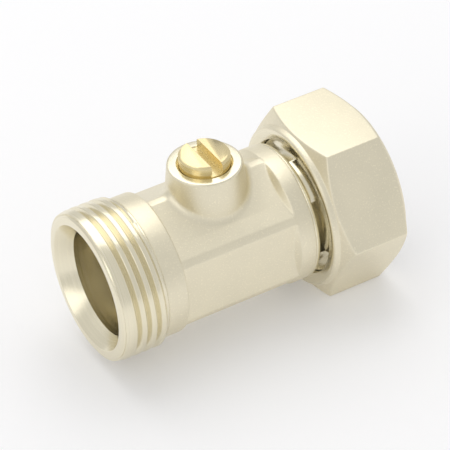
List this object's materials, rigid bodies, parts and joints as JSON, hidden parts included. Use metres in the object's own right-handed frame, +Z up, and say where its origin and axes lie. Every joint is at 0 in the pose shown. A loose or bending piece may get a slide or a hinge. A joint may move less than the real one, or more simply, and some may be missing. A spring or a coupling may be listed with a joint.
{
  "type": "straight radiator shut-off ball valve",
  "caption": "Straight nickel-plated shut-off ball valve with a male pipe thread, a slotted stem and a loose hexagonal union nut.",
  "frame": {"origin": "centre of the male end's face, on the flow axis", "axes": "+X along the flow from the male end to the union nut, +Z up along the stem"},
  "size_m": [0.0532, 0.0342, 0.0328],
  "materials": {
    "nickel_plated_forging": "sand-blasted nickel plate over brass",
    "nickel_plated_turned": "turned, nickel plated",
    "plain_brass": "turned, plain",
    "chrome_plated_ball": "polished chrome plate over brass",
    "ptfe": "white, waxy",
    "rubber_seal": "matt black",
    "spring_wire": "bright drawn wire",
    "gasket_fibre": "matt"
  },
  "bodies": {
    "housing": {"body": "nickel_plated_forging", "tailpiece": "nickel_plated_turned", "tail_oring": "rubber_seal", "retaining_ring": "spring_wire", "gasket": "gasket_fibre", "inlet_seat": "ptfe", "outlet_seat": "ptfe", "thrust_washer": "ptfe"},
    "stem_and_ball": {"stem": "plain_brass", "ball": "chrome_plated_ball", "stem_oring_lower": "rubber_seal", "stem_oring_upper": "rubber_seal"},
    "nut": {"union_nut": "nickel_plated_forging"}
  },
  "joints": [
    {"name": "stem_turn", "type": "hinge", "parent": "housing", "child": "stem_and_ball", "pos_m": [0.0233, 0, 0], "axis": [0, 0, 1], "range_deg": [0, 90]},
    {"name": "nut_spin", "type": "hinge", "parent": "housing", "child": "nut", "pos_m": [0.0465, 0, 0], "axis": [1, 0, 0], "continuous": true}
  ]
}
